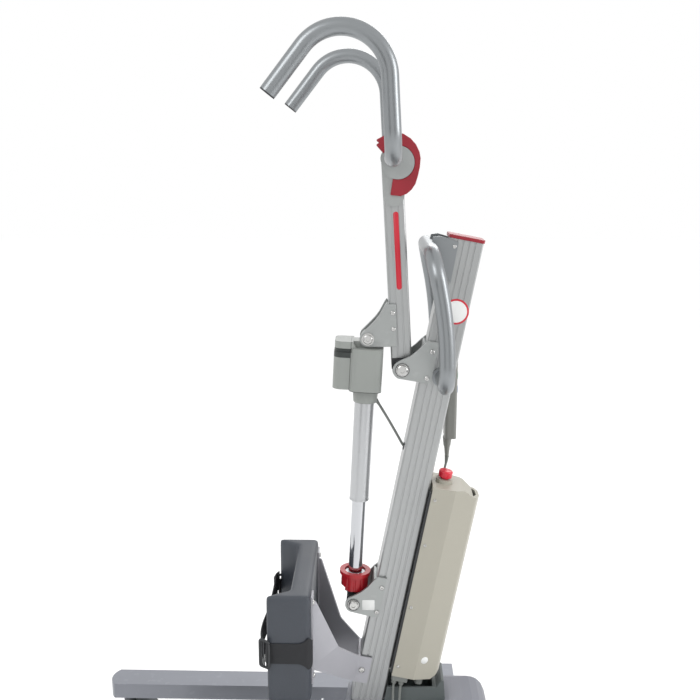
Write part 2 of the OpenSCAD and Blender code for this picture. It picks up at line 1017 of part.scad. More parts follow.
module head_plates() {
    color([0.66, 0.68, 0.68])
        on_boom()
            difference() {
                union() {
                    both()
                        side_plate(-boom_y - plate / 2 - 0.1, plate - 0.2)
                            union() {
                                translate([-boom_y, 315])
                                    square([boom_d, boom_len - 315]);
                                translate([0, 315])
                                    circle(boom_y);
                                translate([0, boom_len])
                                    circle(head_r);
                            }
                    // Round closure over the top of the profile
                    intersection() {
                        translate([0, 0, boom_len])
                            across(head_r, 0, 2 * boom_y + 0.6);
                        translate([-30, -30, boom_len + 6.2])
                            cube([60, 60, 40]);
                    }
                    both()
                        translate([disc_off, -disc_y - disc_t / 2 + 0.05,
                                disc_up])
                            across(disc_r, 0, disc_t + 0.1);
                }
                translate([0, 0, boom_len])
                    across(11 + fit, 0, 200);
            }
}

module lift_bracket() {
    color(alu)
        on_boom()
            difference() {
                union() {
                    bracket_pair(plate, boom_y + 0.1)
                        polygon(concat(
                            arc([-lift_off, lift_up], 15, 265, 125, 10),
                            [[-52.7, 85.7], [-44, 94], [-37, 102.5],
                            [-31, 112], [-25, 122], [-21.5, 126.5],
                            [-17.5, 121], [-5.5, 121], [-7.5, 42]]));
                    translate([-boom_y - 4.4, -boom_y - 1, 56])
                        cube([4.2, 2 * boom_y + 2, 60]);
                }
                translate([-lift_off, 0, lift_up])
                    across(7 + fit, 0, 200);
            }
}

// Pivot studs: one in each cheek, with the ram's eye free between them
module lift_studs() {
    y = boom_y + 0.1;
    color(chrome)
        on_boom() {
            both()
                translate([-lift_off, -y - plate / 2 - 0.4, lift_up]) {
                    across(7, 0, plate + 2.8);
                    across_ring(11.5, plate / 2 + 0.8, 1.6);
                    side_screw(0, -plate / 2 - 1.6, 0, 9, 4.5, 6, 1);
                }
            // Bracket screws into the boom
            both()
                for (t = [75, 105])
                    side_screw(-12, -y - plate - 0.05, t, 4, 2, 2.5, 8);
        }
}

// ---- Arms -------------------------------------------------------------------

hook_out = [-hook_r + hook_r * cos(hook_turn), hook_r * sin(hook_turn)];

module arm() {
    on_boom() {
        translate([0, -hub_y, boom_len])
            rotate([90, 0, 0])
                tube(tube_r, bore_r, arm_y - arm_bend - hub_y);
        translate([0, -arm_y + arm_bend, boom_len])
            rotate([90, 0, 0])
                rotate([0, 0, -90])
                    bend(tube_r, bore_r, arm_bend, 90);
        translate([0, -arm_y, boom_len + arm_bend])
            tube(tube_r, bore_r, arm_up);
        translate([0, -arm_y, boom_len + arm_bend + arm_up])
            bend(tube_r, bore_r, hook_r, hook_turn);
        hook_tip()
            translate([0, 0, weld])
                tube(tube_r, bore_r, hook_end - weld);
    }
}

// The start of the hook's straight end
module hook_tip() {
    translate([hook_out[0], -arm_y,
            boom_len + arm_bend + arm_up + hook_out[1]])
        rotate([0, -hook_turn, 0])
            children();
}

module arm_left() {
    color(tube_grey)
        arm();
}

module arm_right() {
    color(tube_grey)
        mirror([0, 1, 0])
            arm();
}

module hub_shaft() {
    color(chrome)
        on_boom()
            translate([0, 0, boom_len]) {
                across(11, 0, 2 * hub_y);
                both()
                    translate([0, -hub_y - 20, 0])
                        across(bore_r, 0, 40);
            }
}

module arm_plugs() {
    color(black)
        on_boom()
            both()
                hook_tip() {
                    translate([0, 0, hook_end])
                        cylinder(r = tube_r - 0.3, h = 2.5);
                    translate([0, 0, hook_end - 14])
                        cylinder(r = bore_r, h = 14);
                }
}

// C-shaped lever round the hub discs, about the disc centre
module lever_outline() {
    polygon(concat(
        [[-36, 41], [-22, 47.5], [-8, 50.5], [4, 50.5], [12, 48.4]],
        [[24, 40], [33, 29], [38.5, 16], [40, 5], [38, -10], [34, -25],
        [29, -38.6], [22, -48], [13, -55], [2, -58.4], [-16, -55.5]],
        [[-10, -27]],
        [disc_r * [cos(250), sin(250)]],
        [disc_r * [cos(145), sin(145)]],
        [[-36.5, 32.5], [-31, 36]]));
}

module lock_lever() {
    color(raspberry)
        on_boom()
            translate([disc_off, 0, disc_up]) {
                both()
                    side_plate(-disc_y - 3.1, 5.2)
                        difference() {
                            lever_outline();
                            circle(disc_r + gap);
                        }
                // Bridge behind the boom
                side_plate(0, 2 * disc_y + 1.2)
                    intersection() {
                        difference() {
                            lever_outline();
                            circle(34);
                        }
                        polygon([[16, -60], [60, -60], [60, 40], [20, 40]]);
                    }
            }
}

// ---- Ram --------------------------------------------------------------------

module rod_end() {
    color([0.16, 0.16, 0.17])
        on_ram()
            difference() {
                union() {
                    across(14, 0, 30);
                    translate([-12, -12, 0])
                        cube([24, 24, 18]);
                    translate([0, 0, 17])
                        cylinder(r = 11, h = 28);
                    translate([0, 0, 44])
                        cylinder(r = 15, h = 6);
                }
                across(7 + fit, 0, 100);
            }
}

module ram_rod() {
    color(chrome)
        on_ram()
            translate([0, 0, 50])
                difference() {
                    union() {
                        cylinder(d = ram_rod_d, h = 242);
                        // Nut inside the release collar
                        cylinder(r = 19.6, h = 5);
                    }
                    translate([0, 0, 10])
                        cylinder(r = 9.5, h = 240);
                }
}

module release_collar() {
    color([0.60, 0.12, 0.15])
        on_ram()
            difference() {
                union() {
                    translate([0, 0, collar_t0])
                        cylinder(r = 26.5, h = collar_t1 - collar_t0 - 7);
                    translate([0, 0, collar_t1 - 7])
                        cylinder(r = 30, h = 7);
                }
                translate([0, 0, collar_t0 - 1])
                    cylinder(r = 11 + gap, h = 40);
                translate([0, 0, collar_t0 + 21])
                    cylinder(r = 20 + gap, h = 40);
                // Finger flutes
                for (i = [0 : 11])
                    rotate([0, 0, 30 * i])
                        translate([28.2, 0, collar_t0 - 1])
                            cylinder(r = 3, h = 26);
                // Step under the rim, on the person's side
                translate([-40, -40, collar_t0 - 1])
                    cube([22, 80, 7]);
            }
}

module ram_tube() {
    color(alu)
        on_ram() {
            translate([0, 0, tube_t0])
                difference() {
                    cylinder(d = ram_tube_d, h = case_t0 - tube_t0 - 26);
                    translate([0, 0, -1])
                        cylinder(d = ram_rod_d + 2, h = 300);
                }
            // Wiper ring at the mouth
            translate([0, 0, tube_t0 - 3])
                difference() {
                    cylinder(d = ram_tube_d + 1, h = 3);
                    translate([0, 0, -1])
                        cylinder(d = ram_rod_d + 0.8, h = 9);
                }
        }
}

module ram_screw() {
    color([0.55, 0.50, 0.38])
        on_ram() {
            translate([0, 0, 158])
                cylinder(r = 8, h = 262);
            // Drive wheel on the screw
            translate([0, 0, 430])
                cylinder(r = 22, h = 14);
            translate([0, 0, 420])
                cylinder(r = 8, h = 10);
        }
}

module ram_motor() {
    color([0.30, 0.31, 0.33])
        on_ram()
            translate([-36, 0, 450])
                cylinder(r = 20, h = 44);
}

module motor_case() {
    color(plastic_grey)
        on_ram()
            difference() {
                union() {
                    // Gear end, over the tube
                    translate([0, 0, case_t0])
                        soft_box([60, 74, case_t1 - case_t0], 14);
                    // Motor end
                    translate([-34, 0, case_t0 + 3])
                        soft_box([54, 62, case_t1 - case_t0 - 11], 16);
                    // Neck
                    translate([1, 0, neck_t0])
                        cylinder(r1 = 22, r2 = 24.5, h = case_t0 - neck_t0);
                    // Eye of the upper pivot
                    translate([0, 0, ram_len])
                        across(13, 0, 32);
                    translate([-13, -16, case_t1 - 2])
                        cube([26, 32, ram_len - case_t1 + 2]);
                }
                // Screw, gear and motor spaces
                translate([0, 0, neck_t0 - 1])
                    cylinder(r = 9, h = 60);
                translate([0, 0, 427])
                    cylinder(r = 23, h = 20);
                translate([-36, 0, 447])
                    cylinder(r = 21, h = 60);
                translate([0, 0, ram_len])
                    across(8, 0, 100);
            }
}

module case_cap() {
    color([0.56, 0.57, 0.56])
        on_ram()
            difference() {
                union() {
                    translate([-36, 0, case_t1 - 8])
                        soft_box([47, 56, 6], 13);
                    translate([-36.5, 0, case_t1 - 2])
                        soft_box([47, 60, cap_t1 - case_t1 + 2], 14);
                }
                // Seat on the gear end
                translate([-30.05, -60, case_t0])
                    cube([60, 120, case_t1 - case_t0 + 0.05]);
                // Room for the cheeks of the lifting bracket
                both()
                    translate([0, 0, ram_len])
                        across(26.5, -37.5, 40);
            }
}

module ram_cable() {
    color([0.50, 0.50, 0.50])
        cord(cable_route, cable_d, 10);
}

// ---- Handset ----------------------------------------------------------------

set_x0 = handle_low[0] + tube_r + 0.6;
set_x1 = 328;
set_y = 88;
set_z0 = 766;
set_z1 = 926;

module handset_case() {
    color([0.52, 0.52, 0.50])
    difference() {
        union() {
            translate([(set_x0 + set_x1) / 2, set_y, set_z0])
                soft_box([set_x1 - set_x0, 50, set_z1 - set_z0], 6);
            // Hook over the handle's lower end
            translate([handle_low[0], set_y, handle_low[1]])
                intersection() {
                    difference() {
                        across(tube_r + 5.5, 0, 18);
                        across(tube_r + 0.6, 0, 40);
                    }
                    translate([-40, -20, 0.5])
                        cube([60, 40, 40]);
                }
            // Strain relief
            translate([cord_route[0][0], set_y, cord_route[0][2]]) {
                cylinder(r1 = 4, r2 = 6, h = 22);
                translate([0, 0, 22])
                    cylinder(r1 = 7, r2 = 9, h = 18);
                translate([0, 0, 40])
                    cylinder(r = 8, h = set_z0 - cord_route[0][2] - 39.9);
            }
        }
        for (z = button_at)
            translate([set_x1 - 5, set_y, z])
                rotate([0, 90, 0])
                    cylinder(r = 9 + gap, h = 10);
    }
}

button_at = [890, 862];

module button(z) {
    translate([set_x1 - 2.6, set_y, z])
        rotate([0, 90, 0])
            rotate_extrude()
                polygon(concat([[0, 0]], [[9, 0]], [[9, 3]],
                    arc([7.5, 3], 1.5, 0, 90, 3), [[0, 4.5]]));
}

module button_up() {
    color([0.25, 0.45, 0.35])
        button(button_at[0]);
}

module button_down() {
    color([0.25, 0.35, 0.50])
        button(button_at[1]);
}

module handset_cord() {
    color([0.50, 0.50, 0.48])
        cord(cord_route, cord_d, 10);
}

// ---- Legs -------------------------------------------------------------------

module leg() {
    wall = 3;
    front_end = pivot_x - leg_len;
    translate([0, -pivot_y, 0])
    difference() {
        union() {
            difference() {
                union() {
                    translate([front_end + 12, -leg_w / 2, leg_z0])
                        cube([leg_len - 12, leg_w, leg_z1 - leg_z0]);
                    translate([pivot_x, 0, leg_z0])
                        cylinder(r = leg_w / 2, h = leg_z1 - leg_z0);
                }
                translate([front_end + 60, -leg_w / 2 + wall, leg_z0 + wall])
                    cube([leg_len - 110, leg_w - 2 * wall,
                        leg_z1 - leg_z0 - 2 * wall]);
            }
            // Plastic end cap
            translate([front_end + 12, 0, leg_z0])
                intersection() {
                    scale_disc(leg_w / 2, leg_z1 - leg_z0);
                    translate([-12, -50, 0])
                        cube([12, 100, 100]);
                }
            // Horn that the yoke works on
            translate([pivot_x - 14, 0, leg_z0 + 3])
                cube([28, 78, 10]);
            translate([pivot_x, 68, yoke_z + 0.5])
                cylinder(r = 6, h = leg_z0 + 5 - yoke_z);
        }
        translate([pivot_x, 0, 0])
            cylinder(r = pin_r + fit, h = 300);
        translate([front_x, 0, leg_z0 - 1])
            cylinder(r = stem_r + fit, h = 24);
    }
}

// A disc whose front bulges 12 mm from a chord of width 2 r
module scale_disc(r, h) {
    big = (r * r + 144) / 24;
    translate([big - 12, 0, 0])
        cylinder(r = big, h = h);
}

module leg_left() {
    color(frame_grey)
        leg();
}

module leg_right() {
    color(frame_grey)
        mirror([0, 1, 0])
            leg();
}

module spread_yoke() {
    color([0.40, 0.42, 0.44])
        translate([0, 0, yoke_z])
            difference() {
                union() {
                    translate([pivot_x - 22, -horn_y - 18, 0])
                        cube([44, 2 * horn_y + 36, 6]);
                    translate([pivot_x, -19, 0])
                        cube([pedal_x + 12 - pivot_x, 38, 6]);
                }
                both()
                    translate([pivot_x - 6.4, horn_y - 9, -1])
                        cube([12.8, 18, 10]);
                translate([pedal_x - 6, -7, -1])
                    cube([12, 14, 10]);
            }
}

module spread_pedal() {
    color(black)
        translate([pedal_x, 0, pedal_z]) {
            across(5, 0, 104);
            // Finger down to the yoke
            translate([0, 0, yoke_z - 2 - pedal_z])
                cylinder(r = 4, h = pedal_z - yoke_z);
            both() {
                translate([0, 22, -5])
                    cube([38, 10, 10]);
            }
            translate([-8, -12, -8])
                cube([16, 24, 16]);
            // Tread
            translate([50, 0, -5])
                rotate([0, 0, 90])
                    soft_box([96, 26, 10], 8);
        }
}

// ---- Castors ----------------------------------------------------------------

// Twin-wheel castor body: its stem stands at the origin, its top at z = top
module fork(r, top) {
    hood = r + 4.5;
    difference() {
        union() {
            translate([0, 0, top - 12])
                cylinder(r = stem_r, h = 12 + 22);
            // Neck, above the wheels
            difference() {
                translate([0, 0, r + 8])
                    cylinder(r = 13, h = top - r - 8.4);
                translate([trail, 0, r])
                    across(r + 3, 0, 60);
            }
            // Hood, with a web between the wheels
            translate([trail, 0, r]) {
                intersection() {
                    difference() {
                        across(hood, 0, 50);
                        both()
                            across(r + 1.5, -14.25, 18.5);
                    }
                    translate([-100, -50, 0])
                        cube([200, 100, 100]);
                }
                across(r * 0.55, 0, 10);
            }
        }
        translate([trail, 0, r])
            across(4 + fit, 0, 100);
    }
}

// Two wheels on one axle, centred on the castor's web
module wheel_pair(r) {
    translate([trail, 0, r]) {
        across(4, 0, 30);
        both()
            translate([0, 6, 0])
                rotate([-90, 0, 0])
                    rotate_extrude()
                        polygon(concat([[4, 0]], [[r * 0.6, 0]],
                            [[r * 0.62, 1.5]], [[r - 3, 1.5]],
                            arc([r - 3, 4.5], 3, 270, 360, 4),
                            arc([r - 3, 12.5], 3, 0, 90, 4),
                            [[r * 0.66, 15.5]], [[r * 0.62, 13]],
                            [[4, 13]]));
    }
}

module at_rear(side) {
    translate([rear_x, side * rear_y, 0])
        children();
}

module at_front(side) {
    translate([front_x, side * pivot_y, 0])
        children();
}

// Ears and pin that carry a brake pedal
module brake_ears() {
    for (side = [-1, 1])
        side_plate(side * 20.8, 4) {
            translate([trail + rear_r + 2, brake_z - 4.5])
                square([brake_x - trail - rear_r - 2, 9]);
            translate([brake_x, brake_z])
                circle(4.5);
        }
    translate([brake_x, 0, brake_z])
        across(2, 0, 40);
}

module fork_rear_left() {
    color(dark_grey)
        at_rear(-1) {
            fork(rear_r, beam_z0);
            brake_ears();
        }
}

module fork_rear_right() {
    color(dark_grey)
        at_rear(1) {
            fork(rear_r, beam_z0);
            brake_ears();
        }
}

module fork_front_left() {
    color(dark_grey)
        at_front(-1)
            fork(front_r, leg_z0);
}

module fork_front_right() {
    color(dark_grey)
        at_front(1)
            fork(front_r, leg_z0);
}

module wheels_rear_left() {
    color([0.50, 0.51, 0.52])
        at_rear(-1)
            wheel_pair(rear_r);
}

module wheels_rear_right() {
    color([0.50, 0.51, 0.52])
        at_rear(1)
            wheel_pair(rear_r);
}

module wheels_front_left() {
    color([0.50, 0.51, 0.52])
        at_front(-1)
            wheel_pair(front_r);
}

module wheels_front_right() {
    color([0.50, 0.51, 0.52])
        at_front(1)
            wheel_pair(front_r);
}

// Brake pedal behind a rear castor's hood
brake_x = trail + rear_r + 11;
brake_z = rear_r + 6;

module brake(side) {
    color([0.62, 0.16, 0.18])
        at_rear(side)
            translate([brake_x, 0, brake_z])
                difference() {
                    union() {
                        across(4.5, 0, 36);
                        translate([0, -18, -3])
                            cube([30, 36, 6]);
                    }
                    across(2 + fit, 0, 60);
                }
}

module brake_left() {
    brake(-1);
}

module brake_right() {
    brake(1);
}

base_frame();
base_dome();
base_cover();
mast_profile();
mast_cap();
boom_bracket();
ram_bracket();
push_handle();
pivot_bolts();
box_back();
box_cover();
box_cap();
battery_pack();
root_screws();
box_plugs();
box_leads();
knee_bracket();
knee_pad();
knee_screws();
knee_straps();
footplate();
foot_mat();
boom_profile();
boom_foot();
head_plates();
lift_bracket();
lift_studs();
arm_left();
arm_right();
hub_shaft();
arm_plugs();
lock_lever();
ram_rod();
rod_end();
release_collar();
motor_case();
case_cap();
ram_motor();
ram_tube();
ram_screw();
ram_cable();
stop_button();
handset_case();
button_up();
button_down();
handset_cord();
leg_left();
leg_right();
spread_yoke();
spread_pedal();
fork_rear_left();
fork_rear_right();
fork_front_left();
fork_front_right();
wheels_rear_left();
wheels_rear_right();
wheels_front_left();
wheels_front_right();
brake_left();
brake_right();
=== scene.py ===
"""Looks of the sit to stand lift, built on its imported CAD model.

Units are metres, in the model's own frame.
"""

import json
import math

import bmesh
import bpy
from mathutils import Matrix, Vector


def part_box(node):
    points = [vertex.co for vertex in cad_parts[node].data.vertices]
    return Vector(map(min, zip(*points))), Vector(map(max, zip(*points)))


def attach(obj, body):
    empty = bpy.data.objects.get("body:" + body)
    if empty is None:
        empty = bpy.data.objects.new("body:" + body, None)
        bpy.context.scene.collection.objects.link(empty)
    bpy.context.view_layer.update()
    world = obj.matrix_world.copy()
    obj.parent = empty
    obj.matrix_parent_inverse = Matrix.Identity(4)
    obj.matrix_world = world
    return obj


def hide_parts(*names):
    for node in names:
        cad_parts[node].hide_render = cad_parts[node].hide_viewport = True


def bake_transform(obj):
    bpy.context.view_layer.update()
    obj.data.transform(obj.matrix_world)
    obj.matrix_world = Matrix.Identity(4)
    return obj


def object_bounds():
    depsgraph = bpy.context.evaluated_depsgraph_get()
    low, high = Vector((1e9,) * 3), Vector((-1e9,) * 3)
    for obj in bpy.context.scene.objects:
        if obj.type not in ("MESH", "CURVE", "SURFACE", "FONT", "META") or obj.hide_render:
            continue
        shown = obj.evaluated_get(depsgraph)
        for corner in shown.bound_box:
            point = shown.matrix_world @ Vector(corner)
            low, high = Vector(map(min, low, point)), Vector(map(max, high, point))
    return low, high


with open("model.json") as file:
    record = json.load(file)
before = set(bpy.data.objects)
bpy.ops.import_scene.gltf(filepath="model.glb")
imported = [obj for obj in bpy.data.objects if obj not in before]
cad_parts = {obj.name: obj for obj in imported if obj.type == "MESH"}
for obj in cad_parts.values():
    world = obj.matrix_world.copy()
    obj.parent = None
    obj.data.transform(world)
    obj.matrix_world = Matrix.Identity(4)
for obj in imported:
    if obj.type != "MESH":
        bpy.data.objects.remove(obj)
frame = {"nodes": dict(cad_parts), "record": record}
cad_low, cad_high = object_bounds()
slot_of = {s["node"]: s["material_slot"] for s in frame["record"]["subparts"]}

# ---- Frames of the leaning parts, as in the CAD source ----------------------

MAST_LEAN = math.radians(10.8)
BOOM_LEAN = math.radians(-3.35)
RAM_LEAN = math.radians(2.814)
MAST_FOOT = Vector((0.132, 0, 0.130))
BOOM_PIVOT = Vector((0.2169, 0, 0.9272))
RAM_PIVOT = Vector((0.1279, 0, 0.4606))


def leaning(origin, lean):
    """The frame of a leaning part: Z runs up along it, and X points to the carer."""
    return Matrix.Translation(origin) @ Matrix.Rotation(lean, 4, "Y")


ON_MAST = leaning(MAST_FOOT, MAST_LEAN)
ON_BOOM = leaning(BOOM_PIVOT, BOOM_LEAN)

# ---- Camera, floor and light -------------------------------------------------


def add_camera():
    data = bpy.data.cameras.new("camera")
    data.lens = 46.286
    data.sensor_width = 36
    camera = bpy.data.objects.new("camera", data)
    camera.location = (0.165, -1.640, 1.300)
    camera.rotation_euler = (math.radians(78.2), 0, math.radians(1.56))
    bpy.context.scene.collection.objects.link(camera)
    bpy.context.scene.camera = camera


def add_light(name, place, aim, size, power, tint=(1, 1, 1)):
    data = bpy.data.lights.new(name, "AREA")
    data.shape = "RECTANGLE"
    data.size, data.size_y = size
    data.energy = power
    data.color = tint
    lamp = bpy.data.objects.new(name, data)
    lamp.location = place
    lamp.rotation_euler = (Vector(aim) - Vector(place)).to_track_quat("-Z", "Y").to_euler()
    bpy.context.scene.collection.objects.link(lamp)


def link_mesh(name, mesh):
    piece = bpy.data.objects.new(name, mesh)
    bpy.context.scene.collection.objects.link(piece)
    return piece


def mesh_of(name, points, faces, smooth=True):
    mesh = bpy.data.meshes.new(name)
    mesh.from_pydata([tuple(p) for p in points], [], faces)
    mesh.update()
    mesh.shade_smooth() if smooth else mesh.shade_flat()
    return link_mesh(name, mesh)


def plain_card(name, corners, colour, glow=0.0):
    """A flat sheet of the studio, not part of the object."""
    card = mesh_of(name, corners, [(0, 1, 2, 3)], smooth=False)
    mat = bpy.data.materials.new(name)
    mat.use_nodes = True
    shader = mat.node_tree.nodes["Principled BSDF"]
    shader.inputs["Base Color"].default_value = (*colour, 1)
    shader.inputs["Roughness"].default_value = 0.9
    shader.inputs["Emission Color"].default_value = (*colour, 1)
    shader.inputs["Emission Strength"].default_value = glow
    card.data.materials.append(mat)
    return card


def add_studio():
    reach = 14
    plain_card("floor", [(-reach, -reach, 0), (reach, -reach, 0),
                         (reach, reach, 0), (-reach, reach, 0)], (0.86, 0.86, 0.86), glow=0.16)
    world = bpy.data.worlds.new("studio")
    world.use_nodes = True
    sky = world.node_tree.nodes["Background"]
    sky.inputs["Color"].default_value = (1, 1, 1, 1)
    sky.inputs["Strength"].default_value = 1.0
    bpy.context.scene.world = world
    # Dark cards that only show as soft streaks in the metal
    for name, x, width in (("card_left", -1.9, 0.9), ("card_right", 1.15, 0.8)):
        card = plain_card(name, [(x, -2.3, 0.1), (x + width, -2.6, 0.1),
                                 (x + width, -2.6, 2.4), (x, -2.3, 2.4)], (0.04, 0.04, 0.04))
        card.visible_camera = False
        card.visible_shadow = False
    middle = (cad_low + cad_high) / 2
    add_light("key", (-1.6, -2.0, 2.9), middle, (1.4, 1.4), 24)
    add_light("fill", (2.6, -0.7, 1.7), middle, (1.0, 1.8), 30)
    add_light("rim", (0.6, 2.4, 2.4), middle, (1.6, 1.0), 20)


add_camera()
add_studio()
bpy.context.scene.view_settings.view_transform = "Standard"

# ---- Mesh helpers -------------------------------------------------------------


def smooth_route(points, step=0.003):
    """A Catmull-Rom curve through the points, in short even steps."""
    ends = [points[0] * 2 - points[1], *points, points[-1] * 2 - points[-2]]
    route = []
    for a, b, c, d in zip(ends, ends[1:], ends[2:], ends[3:]):
        count = max(2, round((c - b).length / step))
        for i in range(count):
            t = i / count
            route.append(0.5 * (2 * b + (c - a) * t + (2 * a - 5 * b + 4 * c - d) * t * t
                                + (3 * b - a - 3 * c + d) * t ** 3))
    return [*route, points[-1]]


def loft(name, rings):
    """A closed skin over rings of points."""
    n = len(rings[0])
    points = [p for r in rings for p in r]
    faces = [(i * n + k, i * n + (k + 1) % n, (i + 1) * n + (k + 1) % n, (i + 1) * n + k)
             for i in range(len(rings) - 1) for k in range(n)]
    faces.append(tuple(reversed(range(n))))
    faces.append(tuple(range((len(rings) - 1) * n, len(rings) * n)))
    return mesh_of(name, points, faces)


def swept(name, route, section, ref):
    """A closed skin: section(share) gives the outline at that share of the way as (side, ref) offsets."""
    rings = []
    for i, p in enumerate(route):
        way = (route[min(i + 1, len(route) - 1)] - route[max(i - 1, 0)]).normalized()
        side = Vector(ref).cross(way).normalized()
        up = way.cross(side)
        outline = section(i / (len(route) - 1))
        rings.append([p + side * u + up * v for u, v in outline])
    return loft(name, rings)


def circle(radius, sides=18):
    turn = 2 * math.pi / sides
    return [(radius * math.cos(k * turn), radius * math.sin(k * turn)) for k in range(sides)]


def round_plate(name, size, corner, thick, arc=5):
    """A thin plate with rounded corners in the XY plane, its back at z 0 and its front edge eased."""
    x, y = size[0] / 2 - corner, size[1] / 2 - corner
    outline = []
    for cx, cy, start in ((x, y, 0), (-x, y, 90), (-x, -y, 180), (x, -y, 270)):
        for i in range(arc + 1):
            a = math.radians(start + 90 * i / arc)
            outline.append((cx, cy, math.cos(a), math.sin(a)))
    ease = thick * 0.35
    levels = ((corner, 0), (corner, thick - ease), (corner - ease, thick))
    return loft(name, [[Vector((cx + r * c, cy + r * s, z)) for cx, cy, c, s in outline]
                       for r, z in levels])


def set_on(piece, place, out, up=(0, 0, 1)):
    """Puts a plate on a face: place is its centre, and out is the face's normal."""
    z = Vector(out).normalized()
    x = Vector(up).cross(z).normalized()
    turn = Matrix((x, z.cross(x), z)).transposed().to_4x4()
    piece.data.transform(Matrix.Translation(place) @ turn)


def edge_ease(piece, width, angle=35):
    """Small rounds on a CAD node's sharp edges."""
    weld = piece.modifiers.new("weld", "WELD")
    weld.merge_threshold = 0.00002
    ease = piece.modifiers.new("ease", "BEVEL")
    ease.width = width
    ease.segments = 2
    ease.limit_method = "ANGLE"
    ease.angle_limit = math.radians(angle)
    ease.harden_normals = True


# ---- Materials ------------------------------------------------------------------


class Finish:
    """A procedural material. Clouds vary the colour, and a grain the roughness and the surface."""

    def __init__(self, name, colour, rough, metal=0.0, mottle=0.07, cloud=16, grain=900,
                 bump=0.15, depth=0.0003, lean=0.0, stretch=(1, 1, 1), spread=0.06, coat=0.0,
                 wear=0.0):
        self.mat = bpy.data.materials.new(name)
        self.mat.use_nodes = True
        self.tree = self.mat.node_tree
        self.shader = self.tree.nodes["Principled BSDF"]
        self.shader.inputs["Metallic"].default_value = metal
        self.shader.inputs["Coat Weight"].default_value = coat
        place = self.add("ShaderNodeTexCoord").outputs["Object"]
        self.place = place
        run = self.add("ShaderNodeMapping")
        run.vector_type = "TEXTURE"
        run.inputs["Rotation"].default_value = (0, lean, 0)
        run.inputs["Scale"].default_value = stretch
        self.join(place, run.inputs["Vector"])
        clouds = self.noise(place, cloud, 4)
        fine = self.noise(run.outputs["Vector"], grain, 3)
        low = [c * (1 - mottle) for c in colour]
        high = [min(1, c * (1 + mottle)) for c in colour]
        self.colour = self.mix(clouds, low, high)
        if wear:
            scuffs = self.ramp(self.noise(place, 55, 8), 0.60, 0.68, 0, wear)
            self.colour = self.mix(scuffs, self.colour, [min(1, 1.7 * c + 0.03) for c in colour])
        both = self.math("ADD", self.math("MULTIPLY", clouds, 0.5), self.math("MULTIPLY", fine, 0.5))
        self.join(self.ramp(both, 0.3, 0.7, max(0.02, rough - spread), min(1, rough + spread)),
                  self.shader.inputs["Roughness"])
        self.height = fine
        self.bump = self.add("ShaderNodeBump")
        self.bump.inputs["Strength"].default_value = bump
        self.bump.inputs["Distance"].default_value = depth
        self.join(self.height, self.bump.inputs["Height"])
        self.join(self.bump.outputs["Normal"], self.shader.inputs["Normal"])
        self.join(self.colour, self.shader.inputs["Base Color"])

    def add(self, kind):
        return self.tree.nodes.new(kind)

    def join(self, a, b):
        self.tree.links.new(a, b)

    def noise(self, place, scale, detail):
        node = self.add("ShaderNodeTexNoise")
        node.inputs["Scale"].default_value = scale
        node.inputs["Detail"].default_value = detail
        self.join(place, node.inputs["Vector"])
        return node.outputs["Fac"]

    def put(self, value, socket):
        """A link if value is a socket, or a plain value."""
        if isinstance(value, bpy.types.NodeSocket):
            self.join(value, socket)
        elif isinstance(value, (list, tuple)):
            socket.default_value = (*value, 1)
        else:
            socket.default_value = value

    def math(self, kind, a, b):
        node = self.add("ShaderNodeMath")
        node.operation = kind
        self.put(a, node.inputs[0])
        self.put(b, node.inputs[1])
        return node.outputs[0]

    def ramp(self, value, a, b, low, high):
        node = self.add("ShaderNodeMapRange")
        for socket, number in zip(node.inputs[1:5], (a, b, low, high)):
            socket.default_value = number
        self.join(value, node.inputs[0])
        return node.outputs[0]

    def mix(self, share, a, b):
        node = self.add("ShaderNodeMix")
        node.data_type = "RGBA"
        self.put(share, node.inputs[0])
        self.put(a, node.inputs[6])
        self.put(b, node.inputs[7])
        return node.outputs[2]

    def local(self, origin, lean):
        """The sockets X, Y and Z of a leaning part's own frame."""
        node = self.add("ShaderNodeMapping")
        node.vector_type = "TEXTURE"
        node.inputs["Location"].default_value = origin
        node.inputs["Rotation"].default_value = (0, lean, 0)
        self.join(self.place, node.inputs["Vector"])
        split = self.add("ShaderNodeSeparateXYZ")
        self.join(node.outputs[0], split.inputs[0])
        return split.outputs

    def tint(self, share, colour):
        """Paints colour where share is 1."""
        self.colour = self.mix(share, self.colour, colour)
        self.join(self.colour, self.shader.inputs["Base Color"])

    def near(self, socket, at, half):
        """1 within half of the plane at, and 0 elsewhere."""
        away = self.math("ABSOLUTE", self.math("SUBTRACT", socket, at), 0)
        return self.ramp(away, half, half + 0.0001, 1, 0)

    def relief(self, height, strength, depth):
        """A second, coarser bump under the grain."""
        node = self.add("ShaderNodeBump")
        node.inputs["Strength"].default_value = strength
        node.inputs["Distance"].default_value = depth
        self.join(height, node.inputs["Height"])
        self.join(node.outputs["Normal"], self.bump.inputs["Normal"])

    def wave(self, scale, axis):
        node = self.add("ShaderNodeTexWave")
        node.bands_direction = axis
        node.inputs["Scale"].default_value = scale
        self.join(self.place, node.inputs["Vector"])
        return node.outputs["Fac"]

    def cells(self, scale):
        node = self.add("ShaderNodeTexVoronoi")
        node.inputs["Scale"].default_value = scale
        self.join(self.place, node.inputs["Vector"])
        return node.outputs["Distance"]


